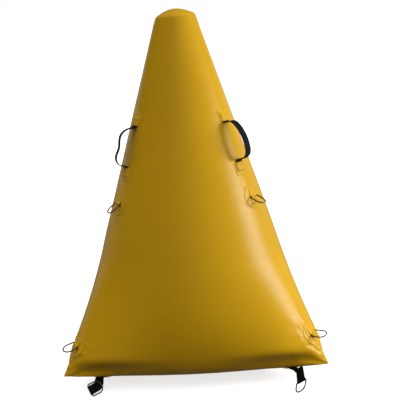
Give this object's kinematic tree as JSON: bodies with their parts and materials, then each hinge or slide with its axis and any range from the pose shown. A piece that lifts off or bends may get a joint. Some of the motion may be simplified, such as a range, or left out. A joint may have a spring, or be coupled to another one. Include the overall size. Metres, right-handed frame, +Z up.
{
  "type": "inflatable marker buoy",
  "caption": "Three-cornered inflatable marker buoy with a round top, webbing handles and tie-down rings on its ridges, and base straps with rings.",
  "frame": {"origin": "centre of the flat patch of skin that the bag rests on", "axes": "+Z up the bag's axis; -Y towards the front face; the corners are front left, front right and back"},
  "size_m": [1.0774, 1.0675, 1.505],
  "materials": {
    "bag_yellow": "glossy coated fabric",
    "patch_yellow": "glossy coated fabric",
    "webbing_black": "woven polyester webbing",
    "ring_steel": "polished stainless wire",
    "valve_grey": "moulded nylon",
    "rubber_black": "soft rubber"
  },
  "bodies": {
    "bag": {"back_handle": "webbing_black", "back_handle_bottom_cover": "patch_yellow", "back_handle_top_cover": "patch_yellow", "back_lower_ring_keeper": "patch_yellow", "back_lower_ring_patch": "patch_yellow", "back_strap": "webbing_black", "back_strap_patch": "patch_yellow", "back_upper_ring_keeper": "patch_yellow", "back_upper_ring_patch": "patch_yellow", "envelope": "bag_yellow", "left_handle": "webbing_black", "left_handle_bottom_cover": "patch_yellow", "left_handle_top_cover": "patch_yellow", "left_lower_ring_keeper": "patch_yellow", "left_lower_ring_patch": "patch_yellow", "left_strap": "webbing_black", "left_strap_patch": "patch_yellow", "left_upper_ring_keeper": "patch_yellow", "left_upper_ring_patch": "patch_yellow", "right_handle": "webbing_black", "right_handle_bottom_cover": "patch_yellow", "right_handle_top_cover": "patch_yellow", "right_lower_ring_keeper": "patch_yellow", "right_lower_ring_patch": "patch_yellow", "right_strap": "webbing_black", "right_strap_patch": "patch_yellow", "right_upper_ring_keeper": "patch_yellow", "right_upper_ring_patch": "patch_yellow", "valve_base": "valve_grey", "valve_body": "valve_grey", "valve_cap_gasket": "rubber_black", "valve_cap_tether": "rubber_black", "valve_flap": "rubber_black"},
    "left_upper_ring": {"left_upper_ring": "ring_steel"},
    "left_lower_ring": {"left_lower_ring": "ring_steel"},
    "left_strap_ring": {"left_strap_ring": "ring_steel"},
    "right_upper_ring": {"right_upper_ring": "ring_steel"},
    "right_lower_ring": {"right_lower_ring": "ring_steel"},
    "right_strap_ring": {"right_strap_ring": "ring_steel"},
    "back_upper_ring": {"back_upper_ring": "ring_steel"},
    "back_lower_ring": {"back_lower_ring": "ring_steel"},
    "back_strap_ring": {"back_strap_ring": "ring_steel"},
    "valve_cap": {"valve_cap": "valve_grey"}
  },
  "joints": [
    {"name": "left_upper_ring_swing", "type": "hinge", "parent": "bag", "child": "left_upper_ring", "pos_m": [-0.27668, -0.15976, 0.74746], "axis": [-0.5027, 0.8645, 0.001], "range_deg": [-32, 136]},
    {"name": "left_lower_ring_swing", "type": "hinge", "parent": "bag", "child": "left_lower_ring", "pos_m": [-0.48324, -0.27904, 0.19236], "axis": [-0.3873, 0.8968, 0.214], "range_deg": [-40, 128]},
    {"name": "left_strap_ring_swing", "type": "hinge", "parent": "bag", "child": "left_strap_ring", "pos_m": [-0.428, -0.362, 0.0265], "axis": [0.4006, -0.2504, -0.8814], "range_deg": [-54, 170]},
    {"name": "right_upper_ring_swing", "type": "hinge", "parent": "bag", "child": "right_upper_ring", "pos_m": [0.27373, -0.16459, 0.74746], "axis": [-0.5325, -0.8464, -0.0066], "range_deg": [-42, 126]},
    {"name": "right_lower_ring_swing", "type": "hinge", "parent": "bag", "child": "right_lower_ring", "pos_m": [0.48328, -0.27898, 0.19236], "axis": [-0.3771, -0.9027, -0.2074], "range_deg": [-54, 114]},
    {"name": "right_strap_ring_swing", "type": "hinge", "parent": "bag", "child": "right_strap_ring", "pos_m": [0.4205, -0.381, 0.032], "axis": [0.7384, -0.3547, 0.5735], "range_deg": [-150, 150]},
    {"name": "back_upper_ring_swing", "type": "hinge", "parent": "bag", "child": "back_upper_ring", "pos_m": [-0.00002, 0.31949, 0.74746], "axis": [1, 0.0031, 0.001], "range_deg": [-37, 131]},
    {"name": "back_lower_ring_swing", "type": "hinge", "parent": "bag", "child": "back_lower_ring", "pos_m": [-0.00003, 0.55802, 0.19236], "axis": [1, 0.0061, 0.0035], "range_deg": [-47, 121]},
    {"name": "back_strap_ring_swing", "type": "hinge", "parent": "bag", "child": "back_strap_ring", "pos_m": [0.087, 0.577, 0.016], "axis": [-0.9397, 0.3419, 0], "range_deg": [-150, 150]},
    {"name": "valve_cap_turn", "type": "hinge", "parent": "bag", "child": "valve_cap", "pos_m": [-0.33638, 0.19421, 0.42], "axis": [-0.8541, 0.4922, 0.1683], "range_deg": [0, 90]}
  ]
}
